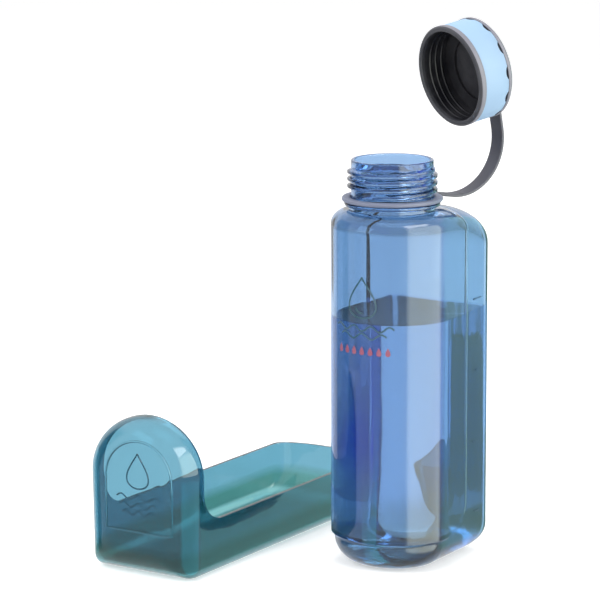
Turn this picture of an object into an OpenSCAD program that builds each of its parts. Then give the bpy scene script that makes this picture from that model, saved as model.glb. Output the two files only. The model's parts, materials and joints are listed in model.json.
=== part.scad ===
// Travel water bottle for a dog: a one-litre bottle with a D-shaped body, a
// detachable drinking bowl that docks over its base and flat back, and a screw cap
// held on a flexible tether. Millimetres, +Z up. The origin is on the base, on the
// axis of the neck. The rounded front of the body faces -Y and its flat back +Y.

/* [Body] */
// Width of the body at its round front
body_w = 73.4; // [62:0.2:82]
// Reach of the round front from the neck axis
front_depth = 33.6; // [28:0.2:40]
// Reach of the flat back from the neck axis
back_depth = 58.7; // [54:0.1:66]
// Angle by which each side draws in towards the back
side_taper = 1; // [0:0.1:2]
// Radius of the two upright corners at the back
corner_r = 6.2; // [5:0.2:10]
// Rounding between the base and the walls of the bottle
base_round = 15.6; // [10:0.5:18]
// Wall of the bottle
wall = 2.2; // [1.6:0.1:2.8]
// Thickness of the bottle's base
base_t = 3; // [2:0.2:5]

/* [Docking step] */
// How deep the bowl sits into the body
step_depth = 2; // [1.6:0.1:3]
// Distance of the upright step behind the neck axis
step_back = 25.8; // [24:0.1:32]
// Height of the step above the base
step_up = 18.2; // [17:0.1:24]
// Radius where the upright step turns into the lower one
step_corner_r = 19; // [14:0.5:22]
// Draft over which the step rises
step_ramp = 0.8; // [0.4:0.1:1.2]

/* [Shoulder and neck] */
// Height of the shoulder where the neck starts
shoulder_z = 211; // [190:1:230]
// Drop of the shoulder from the neck to the walls at the front
front_drop = 9; // [6:0.5:12]
// Drop of the shoulder from the neck to the wall at the back
back_drop = 28; // [22:0.5:34]
// Outside diameter of the neck
neck_d = 48; // [42:0.5:50]
// Wall of the neck
neck_wall = 2; // [1.6:0.1:3]
// Height of the neck above the shoulder
neck_h = 29.1; // [26:0.1:36]
// Diameter of the collar that carries the tether ring
collar_d = 56; // [54:0.5:58]
// Height of the collar above the shoulder
collar_up = 2.3; // [1.6:0.1:4]
// Thickness of the collar
collar_t = 2.4; // [1.6:0.1:3]

/* [Bowl] */
// Clearance between the docked bowl and the bottle
dock_gap = 0.3; // [0.2:0.05:0.6]
// Gap left between the rim of the bowl and the step
rim_gap = 0.6; // [0.4:0.1:1.5]
// How far the docked bowl stands proud of the body
bowl_proud = 0.4; // [0:0.1:1.5]
// Rounding between the end face of the bowl and its walls
end_round = 17.5; // [10:0.5:18]
// Place of the middle of the end face beside the bottle, to the left
bowl_left = 108; // [90:0.2:140]
// Place of the end face in front of the neck axis
bowl_front = 111.6; // [60:0.2:160]
// Height of the raised panel outline on the end face
panel_rise = 0.7; // [0.4:0.1:1]
// Width of the raised panel outline
panel_line = 1.4; // [1:0.1:2]
// Width of the panel inside its outline
panel_w = 45.4; // [36:0.2:48]
// Sideways place of the raised panel outline
panel_shift = 4.2; // [0:0.2:5]
// Reach of the panel from the neck axis towards the round side of the end face
panel_round_reach = 22.4; // [20:0.2:26]
// Reach of the panel from the neck axis towards the open side of the end face
panel_foot_reach = 31.2; // [26:0.2:38]

/* [Cap] */
// Outside diameter of the cap
cap_d = 60.2; // [58.5:0.1:64]
// Height of the drum of the cap
cap_h = 24; // [22:0.5:28]
// Diameter of the hole of the cap, clear of the neck thread
cap_bore = 53.6; // [53:0.1:54.5]
// Depth of the hole of the cap
cap_depth = 20.4; // [18:0.2:22]
// Height of the lip at the open end of the cap
cap_lip = 4; // [3:0.1:6]
// Height of the ring at the closed end of the cap
cap_top_ring = 3.4; // [2.6:0.1:4.5]
// Thickness of the soft grip band
band_t = 1.4; // [1.2:0.1:1.7]
// Rise of the domed top of the cap above its rear ring
cap_dome = 3.9; // [1:0.1:6]
// Number of scallops in the rear edge of the grip band
scallops = 12; // [8:1:18]
// Depth of each scallop
scallop_depth = 1.5; // [1:0.1:2.5]
// Thickness of the seal in the cap
seal_t = 1.5; // [1:0.1:2.5]
// Diameter of the stud that holds the tether loop
stud_d = 23; // [18:0.5:28]

/* [Tether] */
// Direction of the tether, counted from the right side of the bottle to its back
tether_azimuth = 67.5; // [45:0.5:120]
// Width of the strap
strap_w = 10.5; // [7:0.5:12]
// Thickness of the strap
strap_t = 1.8; // [1.6:0.1:2.4]
// Diameter of the ring round the neck
tether_ring_d = 58.8; // [57:0.2:62]
// Thickness of the ring round the neck
tether_ring_t = 2.4; // [2:0.1:2.6]
// Running clearance of the rings
ring_gap = 0.35; // [0.2:0.05:0.6]
// Angle at which the strap droops from the ring
droop = 9; // [4:0.5:12]
// Radius of the bend of the strap
bend_r = 31.4; // [22:0.2:36]
// Distance of the bend's centre from the neck axis
bend_out = 45.8; // [42:0.2:52]
// Tilt of the cap backwards from upright
cap_tilt = 10.25; // [0:0.25:20]
// Straight length of strap from the bend to the middle of the loop
loop_reach = 38.7; // [36:0.1:50]
// Diameter of the loop on the cap
loop_d = 35; // [32:0.5:40]
// Length of the tab on the neck ring
tab_len = 3.5; // [3:0.1:5]
// Clearance between the edge of the cap and the hinge line of the loop
cap_clear = 1.6; // [1:0.1:3]

/* [Hidden] */

// Body
body_r = body_w / 2;
drop_power = 2.2;
front_steps = 14;
side_steps = 6;
corner_steps = 5;
shoulder_steps = 8;
round_steps = 6;
tight_r = 5;
step_low = step_back - step_corner_r;

// Neck
neck_r = neck_d / 2;
bore_r = neck_r - neck_wall;
mouth_z = shoulder_z + neck_h;
shoulder_end_r = neck_r + 1.6;
collar_r = collar_d / 2;
collar_z = shoulder_z + collar_up;
lip_round = 0.8;
// The bore is straight above the collar and widens below it towards the inside
straight_z = collar_z + collar_t + 1.3;
flare = 0.8;
// Where the outline's points run to on the circle of the neck
step_angle = 64;
step_angle_gap = 3;
corner_angle_from = 72;
corner_angle_to = 84;

// Bowl
bowl_inset = step_depth - dock_gap;
bowl_wall = bowl_inset + bowl_proud;
bowl_drop = bowl_wall + dock_gap;
bowl_top = shoulder_z + bowl_drop;
panel_steps = 10;

// Cap, along its own axis from the open end
cap_r = cap_d / 2;
band_seat_r = cap_r - band_t - 0.4;
cap_edge = 1.1;
ring_round = 1.6;
stud_z = cap_h + cap_dome;
loop_t = tether_ring_t;
loop_z = stud_z + ring_gap + loop_t / 2;
stud_top = loop_z + loop_t / 2 + ring_gap;
button_d = stud_d + 5;
button_t = 2;
loop_bore_r = stud_d / 2 + ring_gap;

// Tether, in its own upright plane: distance from the neck axis, height
ring_z = collar_z + collar_t + ring_gap;
ring_mid = ring_z + tether_ring_t / 2;
ring_r = tether_ring_d / 2;
bend_from = -90 - droop;
slope_run = bend_out - bend_r * sin(droop) - ring_r;
bend_z = ring_mid - slope_run * tan(droop) + bend_r * cos(droop);
bend_end = [bend_out + bend_r * cos(cap_tilt), bend_z + bend_r * sin(cap_tilt)];
up_dir = [-sin(cap_tilt), cos(cap_tilt)];
loop_mid = bend_end + loop_reach * up_dir;
root_pivot = [ring_r + tab_len, ring_mid - tab_len * tan(droop)];
top_pivot = loop_mid - (cap_r + cap_clear) * up_dir;
knuckle_r = strap_t / 2;
pivot_gap = knuckle_r + 0.35;
// The strap is divided where the two halves are about as long
mid_angle = -33;
mid_pivot = [bend_out + bend_r * cos(mid_angle), bend_z + bend_r * sin(mid_angle)];
mid_cut = asin(pivot_gap / bend_r);
// The bend runs on a little into the straight strap at each end
bend_overlap = 1;

function lerp(a, b, k) = a + (b - a) * k;

// ---- Outlines and lofts of the body ----

// Distance of a side wall from the middle at depth y, inset by e
function side_x(e, y) = (body_r - e - y * sin(side_taper)) / cos(side_taper);

// Right half of the body's outline, from the middle of the front round to the middle
// of the back. ef and eb are the insets of the part in front of the step and of the
// part behind it, ys is the place of the step. Each entry is x, y and the angle on
// the circle of the neck that the point runs to over the shoulder.
function half_outline(ef, eb, ys) =
    let (rf = body_r - ef, df = front_depth - ef, y0 = df * sin(side_taper), yb = back_depth - eb,
         y1 = ys - step_ramp / 2, y2 = ys + step_ramp / 2,
         rc = max(corner_r - eb, tight_r + max(0, eb - step_depth - wall) / 2),
         corner_x = side_x(eb + rc, yb - rc))
    concat(
        [for (i = [0:front_steps])
            let (a = lerp(-90, side_taper, i / front_steps))
            [rf * cos(a), df * sin(a), a]],
        [for (i = [1:side_steps])
            let (k = i / side_steps, y = lerp(y0, y1, k))
            [side_x(ef, y), y, lerp(side_taper, step_angle, k)]],
        [[side_x(eb, y2), y2, step_angle + step_angle_gap]],
        [for (i = [0:corner_steps])
            let (a = lerp(side_taper, 90, i / corner_steps))
            [corner_x + rc * cos(a), yb - rc + rc * sin(a),
             lerp(corner_angle_from, corner_angle_to, i / corner_steps)]],
        [[0, yb, 90]]);

// The whole outline, counter-clockwise seen from above
function outline(ef, eb, ys) =
    let (half = half_outline(ef, eb, ys), last = len(half) - 1)
    concat(half, [for (i = [last - 1:-1:1]) [-half[i][0], half[i][1], 180 - half[i][2]]]);

function level(points, z) = [for (p = points) [p[0], p[1], z]];

// Place of the step at height z: upright above its corner, then round the corner
function step_at(z) =
    let (below = max(0, step_up + step_corner_r - z))
    step_low + sqrt(max(0, pow(step_corner_r, 2) - pow(min(below, step_corner_r), 2)));

// Shoulder: from the walls to a circle of radius r, each point on a quarter ellipse
function shoulder(points, r, top) =
    [for (j = [0:shoulder_steps])
        let (k = 90 * j / shoulder_steps)
        [for (p = points)
            let (c = [r * cos(p[2]), r * sin(p[2])],
                 drop = lerp(front_drop, back_drop, pow(max(0, p[1]) / back_depth, drop_power)),
                 m = 1 - cos(k))
            [lerp(p[0], c[0], m), lerp(p[1], c[1], m), top - drop * (1 - sin(k))]]];

function circle_level(points, r, z) = [for (p = points) [r * cos(p[2]), r * sin(p[2]), z]];

// Rings of the bottle's skin from the base to the neck, inset by e all round
function skin(e, bottom, round_r, top, top_r) =
    let (inset = step_depth + e)
    concat(
        [for (i = [0:round_steps])
            let (a = 90 * i / round_steps, ee = inset + round_r * (1 - sin(a)))
            level(outline(ee, ee, step_low), bottom + round_r * (1 - cos(a)))],
        [level(outline(inset, inset, step_low), step_up - step_ramp + e)],
        [for (i = [0:4])
            let (z = step_up + e + (step_corner_r - e) * (1 - cos(90 * i / 4)) * 0.98)
            level(outline(e, inset, step_at(z)), z)],
        [level(outline(e, inset, step_back), step_up + step_corner_r + 1)],
        shoulder(outline(e, inset, step_back), top_r, top));

function reverse(list) = [for (i = [len(list) - 1:-1:0]) list[i]];

// A closed solid through rings that all have the same number of points
module loft(rings) {
    n = len(rings[0]);
    m = len(rings);
    points = [for (ring = rings) for (p = ring) p];
    sides = [for (j = [0:m - 2]) for (i = [0:n - 1])
        let (a = j * n + i, b = j * n + (i + 1) % n)
        each [[a, a + n, b + n], [a, b + n, b]]];
    polyhedron(points = points, faces = concat(
        [[for (i = [0:n - 1]) i]],
        sides,
        [[for (i = [n - 1:-1:0]) (m - 1) * n + i]]), convexity = 8);
}

// ---- Bottle ----

module body_shell() {
    outer = skin(0, 0, base_round, shoulder_z, shoulder_end_r);
    inner = skin(wall, base_t, base_round - wall, shoulder_z - wall, neck_r - 1.2);
    loft(concat(
        outer,
        [circle_level(outer_points(), neck_r - 0.6, shoulder_z)],
        reverse(inner)));
}

function outer_points() = outline(0, step_depth, step_back);

// Neck with its collar, its lip rounded
module neck_finish() {
    collar_edge = collar_r - collar_t / 2;
    rotate_extrude($fn = 96) {
        translate([bore_r, straight_z]) square([neck_wall, mouth_z - lip_round - straight_z]);
        polygon([[bore_r, straight_z + 0.01], [bore_r + flare, shoulder_z - wall - 1],
                 [neck_r, shoulder_z - wall - 1], [neck_r, straight_z + 0.01]]);
        translate([bore_r + lip_round, mouth_z - lip_round - 0.01])
            square([neck_wall - 2 * lip_round, lip_round + 0.01]);
        for (r = [bore_r + lip_round, neck_r - lip_round])
            translate([r, mouth_z - lip_round]) circle(lip_round, $fn = 24);
        translate([bore_r + 1, shoulder_z - 1])
            square([shoulder_end_r - bore_r - 1.5, collar_up + 2]);
        translate([bore_r + 1, collar_z]) square([collar_edge - bore_r - 1, collar_t]);
        translate([collar_edge, collar_z + collar_t / 2]) circle(collar_t / 2, $fn = 24);
    }
}

module bottle() {
    color([0.36, 0.58, 0.82, 0.6])
        union() {
            body_shell();
            neck_finish();
        }
}

// ---- Bowl, drawn where it docks on the bottle and then laid on its back ----

// Full form of the body, grown over the base and the shoulder, inset by e all round
function full_form(e, bottom, round_r, top) =
    concat(
        [for (i = [0:round_steps])
            let (a = 90 * i / round_steps, ee = e + round_r * (1 - sin(a)))
            level(outline(ee, ee, step_low), bottom + round_r * (1 - cos(a)))],
        shoulder(outline(e, e, step_back), shoulder_end_r - 6, top));

// Everything in front of the step, with the round corner of the step
module in_front_of_bowl() {
    edge_y = step_back + rim_gap;
    edge_z = step_up - rim_gap;
    far = 2 * (front_depth + back_depth);
    rotate([90, 0, 90])
        linear_extrude(2 * body_w, center = true)
            difference() {
                translate([edge_y - far, edge_z]) square([far, 2 * shoulder_z]);
                translate([edge_y - step_corner_r, edge_z - 0.01])
                    difference() {
                        square([step_corner_r + 1, step_corner_r]);
                        translate([0, step_corner_r]) circle(step_corner_r, $fn = 96);
                    }
            }
}

// Points of the raised panel outline: feet, then the arch, on the end face
function panel_path() =
    let (r = panel_w / 2, arch_y = r - panel_round_reach)
    concat([[-r, panel_foot_reach]],
        [for (i = [0:panel_steps])
            let (a = 180 + 180 * i / panel_steps) [r * cos(a), arch_y + r * sin(a)]],
        [[r, panel_foot_reach], [-r, panel_foot_reach]]);

// The raised outline follows the face and its rounding
module panel_outline() {
    path = panel_path();
    grown = bowl_proud + panel_rise;
    intersection() {
        for (i = [0:len(path) - 2])
            hull()
                for (p = [path[i], path[i + 1]])
                    translate([p[0] + panel_shift, p[1], -bowl_drop - panel_rise - 1])
                        cylinder(h = end_round / 2, r = panel_line / 2, $fn = 12);
        loft(full_form(-grown, -bowl_drop - panel_rise, end_round + panel_rise, bowl_top));
    }
}

module docked_bowl() {
    difference() {
        union() {
            loft(full_form(-bowl_proud, -bowl_drop, end_round, bowl_top));
            panel_outline();
        }
        loft(full_form(bowl_inset, -dock_gap, end_round - bowl_wall, bowl_top - bowl_wall));
        in_front_of_bowl();
    }
}

module bowl() {
    color([0.25, 0.55, 0.62, 0.6])
        render()
            translate([-bowl_left, -bowl_front, back_depth + bowl_proud])
                rotate([-90, 0, 0])
                    translate([0, 0, bowl_drop])
                        docked_bowl();
}

// ---- Cap, drawn along its own axis with the open end at the bottom ----

// Stands a piece of the cap on the tether: open end towards the neck axis
module on_tether() {
    rotate([0, 0, tether_azimuth])
        translate([loop_mid[0], 0, loop_mid[1]])
            rotate([0, 90 - cap_tilt, 0])
                translate([0, 0, -loop_z])
                    children();
}

module cap_profile() {
    // Lip, its outer edge rounded
    lip_edge = cap_r - cap_edge;
    translate([cap_bore / 2, 0]) square([lip_edge - cap_bore / 2, cap_lip]);
    translate([lip_edge, cap_edge]) circle(cap_edge, $fn = 32);
    translate([lip_edge, cap_edge]) square([cap_edge, cap_lip - cap_edge]);
    // Drum under the grip band
    translate([cap_bore / 2, cap_lip - 0.5]) square([band_seat_r - cap_bore / 2, cap_h - cap_lip - 0.5]);
    // Ring at the closed end
    ring_edge = cap_r - ring_round;
    translate([cap_bore / 2, cap_h - cap_top_ring]) square([ring_edge - cap_bore / 2, cap_top_ring]);
    translate([ring_edge, cap_h - ring_round]) circle(ring_round, $fn = 32);
    translate([ring_edge, cap_h - cap_top_ring]) square([ring_round, cap_top_ring - ring_round]);
    // Top, with its low dome
    polygon([[0, cap_depth], [cap_bore / 2 + 1, cap_depth], [cap_bore / 2 + 1, cap_h],
             [loop_d / 2 + 1, stud_z], [0, stud_z]]);
    // Stud and its button
    button_edge = (button_d - button_t) / 2;
    translate([0, cap_depth]) square([stud_d / 2, stud_top - cap_depth + 0.5]);
    translate([0, stud_top]) square([button_edge, button_t]);
    translate([button_edge, stud_top + button_t / 2]) circle(button_t / 2, $fn = 24);
}

module cap_shell() {
    color([0.33, 0.33, 0.36])
        on_tether()
            rotate_extrude($fn = 96) cap_profile();
}

module cap_grip_band() {
    low = cap_lip;
    high = cap_h - cap_top_ring;
    color([0.55, 0.78, 0.93])
        on_tether()
            difference() {
                rotate_extrude($fn = 96)
                    translate([band_seat_r, low]) square([band_t, high - low]);
                for (i = [0:scallops - 1])
                    rotate([0, 0, 360 * i / scallops])
                        translate([0, 0, high + 6 - scallop_depth])
                            rotate([0, 90, 0])
                                cylinder(h = cap_d, r = 6, $fn = 48);
            }
}

module cap_seal() {
    color([0.2, 0.21, 0.24])
        on_tether()
            translate([0, 0, cap_depth - seal_t])
                difference() {
                    cylinder(h = seal_t, r = cap_bore / 2 - 0.1, $fn = 96);
                    translate([0, 0, -1]) cylinder(h = seal_t + 2, r = bore_r - 3, $fn = 96);
                }
}

// ---- Tether, drawn in its own plane ----

// Draws a flat outline upright in the plane of the tether, as wide as the strap
module in_tether_plane() {
    rotate([0, 0, tether_azimuth])
        rotate([90, 0, 0])
            linear_extrude(strap_w, center = true)
                children();
}

// A flat band of strap between two points of the plane
module band_between(a, b) {
    along = b - a;
    translate(a)
        rotate(atan2(along[1], along[0]))
            translate([0, -knuckle_r]) square([norm(along), strap_t]);
}

// A sector of the bend, between two angles
module bend_band(from, to) {
    reach = 3 * bend_r;
    translate([bend_out, bend_z])
        intersection() {
            difference() {
                circle(bend_r + knuckle_r, $fn = 180);
                circle(bend_r - knuckle_r, $fn = 180);
            }
            polygon(concat([[0, 0]],
                [for (i = [0:4]) let (a = lerp(from, to, i / 4)) reach * [cos(a), sin(a)]]));
        }
}

module tether_neck_ring() {
    tab_end = root_pivot - pivot_gap * [cos(droop), -sin(droop)];
    color([0.45, 0.45, 0.48])
        difference() {
            union() {
                translate([0, 0, ring_z]) cylinder(h = tether_ring_t, r = ring_r, $fn = 96);
                in_tether_plane() band_between([ring_r - 2, ring_mid + 2 * tan(droop)], tab_end);
            }
            translate([0, 0, ring_z - 3]) cylinder(h = tether_ring_t + 6, r = neck_r + ring_gap, $fn = 96);
        }
}

module tether_strap_lower() {
    bend_start = [bend_out + bend_r * cos(bend_from), bend_z + bend_r * sin(bend_from)];
    color([0.4, 0.4, 0.43])
        in_tether_plane() {
            translate(root_pivot) circle(knuckle_r, $fn = 32);
            band_between(root_pivot, bend_start);
            bend_band(bend_from - bend_overlap, mid_angle - mid_cut);
        }
}

module tether_strap_upper() {
    color([0.4, 0.4, 0.43])
        in_tether_plane() {
            translate(mid_pivot) circle(knuckle_r, $fn = 32);
            bend_band(mid_angle, cap_tilt + bend_overlap);
            band_between(bend_end, top_pivot);
            translate(top_pivot) circle(knuckle_r, $fn = 32);
        }
}

module tether_cap_loop() {
    tab_start = loop_d / 2 - 2;
    tab_end = cap_r + cap_clear - pivot_gap;
    color([0.45, 0.45, 0.48])
        on_tether()
            difference() {
                union() {
                    translate([0, 0, loop_z - loop_t / 2]) cylinder(h = loop_t, r = loop_d / 2, $fn = 96);
                    translate([tab_start, -strap_w / 2, loop_z - knuckle_r])
                        cube([tab_end - tab_start, strap_w, strap_t]);
                }
                translate([0, 0, loop_z - loop_t]) cylinder(h = 2 * loop_t, r = loop_bore_r, $fn = 96);
            }
}

bottle();
bowl();
cap_shell();
cap_grip_band();
cap_seal();
tether_neck_ring();
tether_strap_lower();
tether_strap_upper();
tether_cap_loop();
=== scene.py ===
"""Travel water bottle for a dog, with its docking bowl and its screw cap on a flexible tether.

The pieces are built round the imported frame, in metres: +Z is up along the neck, -Y is the round
front of the body and +Y its flat back.
"""

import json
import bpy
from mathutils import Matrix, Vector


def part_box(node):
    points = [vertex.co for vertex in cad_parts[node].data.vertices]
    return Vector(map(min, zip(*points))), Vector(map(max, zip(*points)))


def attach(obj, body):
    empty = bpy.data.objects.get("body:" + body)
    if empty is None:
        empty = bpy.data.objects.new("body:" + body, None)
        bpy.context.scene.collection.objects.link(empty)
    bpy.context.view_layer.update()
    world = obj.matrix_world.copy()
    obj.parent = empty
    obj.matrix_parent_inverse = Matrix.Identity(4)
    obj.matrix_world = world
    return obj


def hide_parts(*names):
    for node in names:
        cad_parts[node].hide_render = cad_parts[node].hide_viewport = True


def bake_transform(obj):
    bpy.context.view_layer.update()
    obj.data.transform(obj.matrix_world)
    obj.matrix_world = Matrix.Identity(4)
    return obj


bl_info = {
    "name": "Travel water bottle",
    "version": (1, 0, 0),
    "blender": (4, 5, 0),
    "location": "View3D > Sidebar > Water Bottle",
    "description": "Builds the clear bottle, its bowl, cap and tether round the packed frame",
    "category": "Object",
}

from math import asin, cos, degrees, hypot, pi, radians, sin, sqrt, tan

import bpy
from bpy.props import FloatProperty, FloatVectorProperty, IntProperty, PointerProperty
from mathutils import Matrix, Vector
from mathutils.geometry import intersect_point_line

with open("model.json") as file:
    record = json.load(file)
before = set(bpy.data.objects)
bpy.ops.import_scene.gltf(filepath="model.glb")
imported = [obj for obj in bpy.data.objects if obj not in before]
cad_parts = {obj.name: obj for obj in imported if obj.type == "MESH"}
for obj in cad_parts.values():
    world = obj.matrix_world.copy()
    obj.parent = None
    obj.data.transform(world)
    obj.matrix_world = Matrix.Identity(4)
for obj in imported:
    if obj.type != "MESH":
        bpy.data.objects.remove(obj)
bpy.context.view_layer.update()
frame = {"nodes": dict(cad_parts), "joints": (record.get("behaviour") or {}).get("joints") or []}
MM = 0.001

BOTTLE_LOW, BOTTLE_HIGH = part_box("bottle")
BOWL_LOW, BOWL_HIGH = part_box("bowl")
RING_LOW, RING_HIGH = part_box("tether_neck_ring")
JOINTS = {joint["name"]: joint for joint in frame["joints"]}


# ---- Sizes and colours ----


def length(millimetres, description):
    return FloatProperty(description=description, default=millimetres * MM, unit="LENGTH", precision=4)


def angle(turn, description):
    return FloatProperty(description=description, default=radians(turn), subtype="ANGLE")


def colour(default, description):
    return FloatVectorProperty(description=description, default=default, size=3, subtype="COLOR",
                               min=0, max=1)


class BottleSizes(bpy.types.PropertyGroup):
    side_taper: angle(1, "Angle by which each side draws in towards the back")
    corner_radius: length(6.2, "Radius of the two upright corners at the back")
    base_round: length(15.6, "Rounding between the base and the walls")
    wall: length(2.2, "Wall of the bottle")
    base_wall: length(3, "Thickness of the base")
    step_depth: length(2, "How deep the bowl sits into the body")
    step_back: length(25.8, "Distance of the upright step behind the neck axis")
    step_up: length(18.2, "Height of the lower step above the base")
    step_corner: length(19, "Radius where the upright step turns into the lower one")
    step_ramp: length(1.1, "Distance over which the step rises")
    shoulder: length(211, "Height of the shoulder where the neck starts")
    front_drop: length(9, "Drop of the shoulder to the wall at the front")
    back_drop: length(28, "Drop of the shoulder to the wall at the back")
    neck_radius: length(24, "Outside radius of the neck below its thread")
    neck_wall: length(2, "Wall of the neck")
    thread_pitch: length(4.15, "Rise of the thread in one turn")
    thread_height: length(2.3, "How far the thread stands out of the neck")
    thread_start: length(221.2, "Height of the lower end of the thread")
    thread_turns: FloatProperty(description="Turns of the thread", default=3.35)
    water_level: length(148, "Height of the water above the base")
    print_height: length(153, "Height of the middle of the print")
    print_line: length(1, "Width of the printed lines")
    mark_start: length(26, "Height of the lowest level mark")
    mark_pitch: length(43, "Rise from one level mark to the next")


class BowlSizes(bpy.types.PropertyGroup):
    dock_gap: length(0.3, "Clearance between the docked bowl and the bottle")
    rim_gap: length(0.6, "Gap left between the rim of the bowl and the step")
    proud: length(0.4, "How far the docked bowl stands proud of the body")
    end_round: length(17.5, "Rounding between the end face and the walls")
    panel_width: length(45.4, "Width of the panel inside its raised outline")
    panel_shift: length(4.2, "Sideways place of the panel")
    panel_round_reach: length(22.4, "Reach of the panel towards the round side")
    panel_foot_reach: length(31.2, "Reach of the panel towards the floor")
    panel_line: length(1.4, "Width of the raised outline")
    panel_rise: length(0.7, "Height of the raised outline")
    motif_line: length(0.9, "Width of the raised lines of the drop and its waves")


class CapSizes(bpy.types.PropertyGroup):
    radius: length(30.1, "Outside radius of the cap")
    height: length(24, "Height of the drum of the cap")
    bore: length(26.8, "Radius of the hole of the cap")
    depth: length(20.4, "Depth of the hole of the cap")
    lip: length(4, "Height of the lip at the open end")
    top_ring: length(3.4, "Height of the ring at the closed end")
    band: length(1.4, "Thickness of the soft grip band")
    scallops: IntProperty(description="Scallops in the edge of the band", default=12)
    stud: length(11.5, "Radius of the stud that holds the tether loop")
    dome: length(3.9, "Rise of the domed top above the rear ring")


class TetherSizes(bpy.types.PropertyGroup):
    azimuth: angle(67.5, "Direction of the tether from the right side to the back")
    width: length(10.5, "Width of the strap")
    thickness: length(1.8, "Thickness of the strap")
    droop: angle(9, "Angle at which the strap leaves the ring")
    bend: length(31.4, "Radius of the bend of the strap")
    bend_out: length(45.8, "Distance of the bend's centre from the neck axis")
    cap_tilt: angle(10.25, "Tilt of the cap backwards from upright")
    reach: length(38.7, "Straight length from the bend to the middle of the loop")
    loop_radius: length(17.5, "Outside radius of the loop on the cap")
    gap: length(0.35, "Running clearance of the rings")


class FinishColours(bpy.types.PropertyGroup):
    bottle_blue: colour((0.38, 0.525, 0.67), "Tint of the surfaces of the clear body")
    bottle_foot: colour((0.32, 0.47, 0.47), "Tint of its surfaces near the foot")
    bottle_neck: colour((0.29, 0.43, 0.62), "Tint of its surfaces at the neck")
    bottle_depth: colour((0.10, 0.40, 0.78), "Colour that light keeps inside its wall")
    bowl_teal: colour((0.13, 0.31, 0.40), "Tint of the surfaces of the clear bowl")
    bowl_floor: colour((0.21, 0.45, 0.46), "Tint of its surfaces at the floor")
    # Painted shade: a darker tint for the downward rounding round the bowl's floor
    bowl_corner_shade: colour((0.06, 0.20, 0.19), "Tint of its thick corner round the floor")
    bowl_depth: colour((0.05, 0.50, 0.60), "Colour that light keeps inside its wall")
    water: colour((0.87, 0.90, 1.0), "Tint of the water")
    cap_grey: colour((0.034, 0.035, 0.044), "Moulded grey of the cap")
    # Painted highlight: a lighter grey for the outer faces of the same grey cap
    ring_highlight_grey: colour((0.21, 0.21, 0.25), "Lighter grey of the cap's outer rings")
    # Painted shade: near black for the inside of the cap, its bore, closed end and inside thread
    cap_inside_shade: colour((0.006, 0.006, 0.010), "Dark inside of the cap")
    # Painted shade: near black for the seal deep inside the cap
    seal_dark: colour((0.006, 0.006, 0.009), "Dark rubber of the sealing ring")
    grip_blue: colour((0.335, 0.51, 0.71), "Soft light blue of the grip band")
    strap_grey: colour((0.065, 0.065, 0.085), "Grey of the flexible strap")
    # Partly painted highlight: a grey lighter than the strap's, partly for the light that falls on the
    # ring from above
    neck_ring_grey_and_highlight: colour((0.17, 0.19, 0.27), "Grey of the ring round the neck")
    print_teal: colour((0.015, 0.075, 0.11), "Dark lines of the print")
    print_red: colour((0.30, 0.06, 0.11), "Pinkish red of the print")


# ---- Working helpers ----

DOUBLES = 0.01 * MM
LATHE_STEPS = 144

# Angles in degrees under which faces shade as one surface: pieces with crisp edges, and round ones
CRISP = 40
ROUND = 50


def start_clean():
    """Leaves edit mode and selects nothing."""
    if bpy.context.object and bpy.context.object.mode != "OBJECT":
        bpy.ops.object.mode_set(mode="OBJECT")
    bpy.ops.object.select_all(action="DESELECT")


def pick(piece):
    """Selects one piece alone and makes it the active one."""
    start_clean()
    piece.select_set(True)
    bpy.context.view_layer.objects.active = piece


def edit(piece):
    """Opens a piece in edit mode with all of it selected."""
    pick(piece)
    bpy.ops.object.mode_set(mode="EDIT")
    bpy.ops.mesh.select_all(action="SELECT")


def weld(piece, distance=DOUBLES, outwards=False):
    """Merges doubles, and turns the faces outwards where asked."""
    edit(piece)
    bpy.ops.mesh.remove_doubles(threshold=distance)
    if outwards:
        bpy.ops.mesh.normals_make_consistent(inside=False)
    start_clean()


def apply_modifier(piece, kind, **settings):
    """Adds a modifier with its settings and applies it."""
    pick(piece)
    modifier = piece.modifiers.new(kind.title(), kind)
    for key, value in settings.items():
        setattr(modifier, key, value)
    bpy.ops.object.modifier_apply(modifier=modifier.name)
    start_clean()


def round_edges(piece, width, segments, limit):
    """Bevels the edges whose faces meet at more than limit degrees."""
    apply_modifier(piece, "BEVEL", width=width, segments=segments, limit_method="ANGLE",
                   angle_limit=radians(limit), use_clamp_overlap=True)


def combine(piece, tool, operation):
    """Cuts a tool out of a piece or adds it on, and deletes the tool."""
    apply_modifier(piece, "BOOLEAN", operation=operation, solver="EXACT", object=tool)
    bpy.data.objects.remove(tool)


def place(piece, matrix):
    """Puts a piece at its place and leaves the place in its mesh."""
    piece.matrix_world = matrix
    pick(piece)
    bpy.ops.object.transform_apply(location=True, rotation=True, scale=True)
    start_clean()


def named(piece, name, *materials):
    """Names a piece and its mesh, and gives it its materials."""
    piece.name = name
    piece.data.name = name
    if materials:
        piece.data.materials.clear()
    for material in materials:
        piece.data.materials.append(material)
    return piece


def smooth(piece, limit):
    """Shades a piece smooth where its faces meet at less than limit degrees."""
    pick(piece)
    bpy.ops.object.shade_smooth_by_angle(angle=radians(limit))
    start_clean()


def finish_piece(piece, limit, body, nodes=(), stand=None):
    """Smooths and places a piece, hangs it on what carries it and hides the nodes it stands for."""
    smooth(piece, limit)
    if stand is not None:
        place(piece, stand)
    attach(piece, body)
    if nodes:
        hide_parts(*nodes)


def loft(name, rings, closed=True):
    """A skin through rings of points: a grid primitive whose rows are laid on the rings."""
    rows, columns = len(rings), len(rings[0])
    across = columns if closed else columns - 1
    start_clean()
    bpy.ops.mesh.primitive_grid_add(x_subdivisions=across, y_subdivisions=rows - 1, size=2)
    piece = named(bpy.context.object, name)
    for vertex in piece.data.vertices:
        column = round((vertex.co.x + 1) / 2 * across) % columns
        row = round((vertex.co.y + 1) / 2 * (rows - 1))
        vertex.co = rings[row][column]
    weld(piece)
    return piece


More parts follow.
